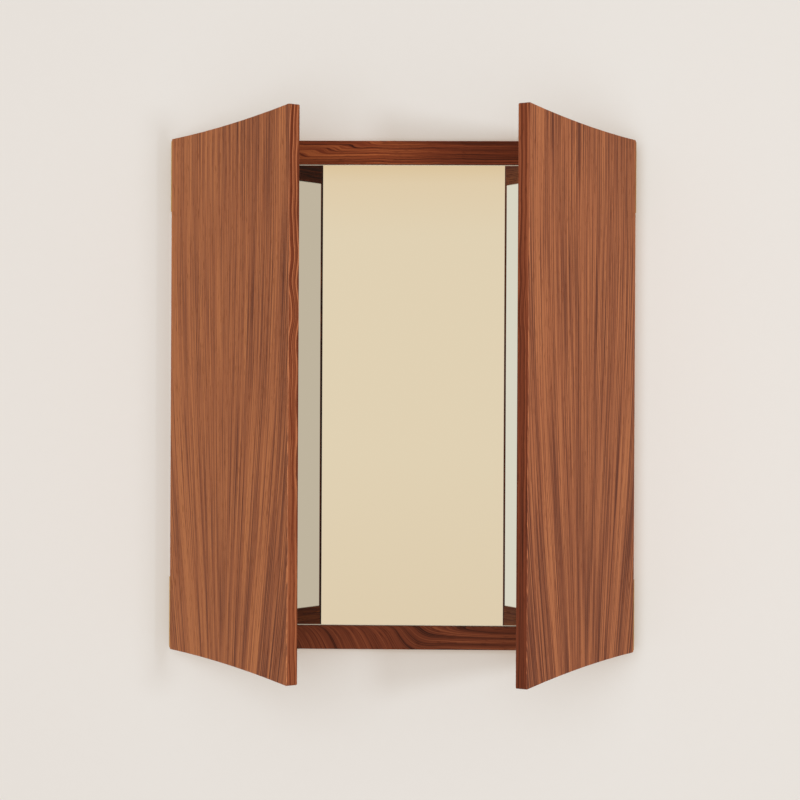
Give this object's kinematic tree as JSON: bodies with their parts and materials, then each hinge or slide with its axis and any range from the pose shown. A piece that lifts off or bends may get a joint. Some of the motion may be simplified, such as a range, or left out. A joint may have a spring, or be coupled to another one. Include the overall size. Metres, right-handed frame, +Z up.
{
  "type": "wall mirror with doors",
  "caption": "Walnut wall mirror: a framed centre glass with mirror-lined doors on brass butt hinges, their curved ends flaring towards the free edges, for hanging flat on a wall.",
  "frame": {"origin": "middle of the flat back, on the wall plane", "axes": "+Z up, +X to the right seen from the front, +Y into the wall, so the mirror faces -Y"},
  "size_m": [0.592, 0.2702, 0.676],
  "materials": {
    "walnut_solid": "oiled solid walnut",
    "walnut_veneer": "oiled straight-grained walnut veneer",
    "plywood": "birch plywood, bare",
    "beech": "bare beech",
    "mirror_glass": "silvered glass with ground edges",
    "foam_tape": "white foam tape",
    "brass": "brushed brass",
    "zinc_steel": "zinc plated steel",
    "nickel_magnet": "nickel plated magnet"
  },
  "bodies": {
    "frame": {"back_board": "plywood", "back_board_screws": "zinc_steel", "bottom_rail": "walnut_solid", "catch_magnets": "nickel_magnet", "centre_mirror": "mirror_glass", "centre_mirror_tape": "foam_tape", "corner_dowels": "beech", "hanger_screws": "zinc_steel", "left_frame_hinge_screws": "brass", "left_hanger_plate": "zinc_steel", "left_lower_hinge_frame_leaf": "brass", "left_lower_hinge_pin": "brass", "left_stile": "walnut_solid", "left_upper_hinge_frame_leaf": "brass", "left_upper_hinge_pin": "brass", "right_frame_hinge_screws": "brass", "right_hanger_plate": "zinc_steel", "right_lower_hinge_frame_leaf": "brass", "right_lower_hinge_pin": "brass", "right_stile": "walnut_solid", "right_upper_hinge_frame_leaf": "brass", "right_upper_hinge_pin": "brass", "top_rail": "walnut_solid"},
    "left_door": {"left_door_bottom_band": "walnut_solid", "left_door_catch_strikes": "zinc_steel", "left_door_core": "plywood", "left_door_face_veneer": "walnut_veneer", "left_door_free_lipping": "walnut_solid", "left_door_hinge_screws": "brass", "left_door_hinge_stile": "walnut_solid", "left_door_inner_bottom_rail": "walnut_solid", "left_door_inner_top_rail": "walnut_solid", "left_door_mirror": "mirror_glass", "left_door_mirror_tape": "foam_tape", "left_door_top_band": "walnut_solid", "left_lower_hinge_door_leaf": "brass", "left_upper_hinge_door_leaf": "brass"},
    "right_door": {"right_door_bottom_band": "walnut_solid", "right_door_catch_strikes": "zinc_steel", "right_door_core": "plywood", "right_door_face_veneer": "walnut_veneer", "right_door_free_lipping": "walnut_solid", "right_door_hinge_screws": "brass", "right_door_hinge_stile": "walnut_solid", "right_door_inner_bottom_rail": "walnut_solid", "right_door_inner_top_rail": "walnut_solid", "right_door_mirror": "mirror_glass", "right_door_mirror_tape": "foam_tape", "right_door_top_band": "walnut_solid", "right_lower_hinge_door_leaf": "brass", "right_upper_hinge_door_leaf": "brass"}
  },
  "joints": [
    {"name": "left_door_hinge", "type": "hinge", "parent": "frame", "child": "left_door", "pos_m": [-0.2843, -0.0205, 0], "axis": [0, 0, -1], "range_deg": [-53.4, 126.6]},
    {"name": "right_door_hinge", "type": "hinge", "parent": "frame", "child": "right_door", "pos_m": [0.2843, -0.0205, 0], "axis": [0, 0, 1], "range_deg": [-58.7, 121.3]}
  ]
}
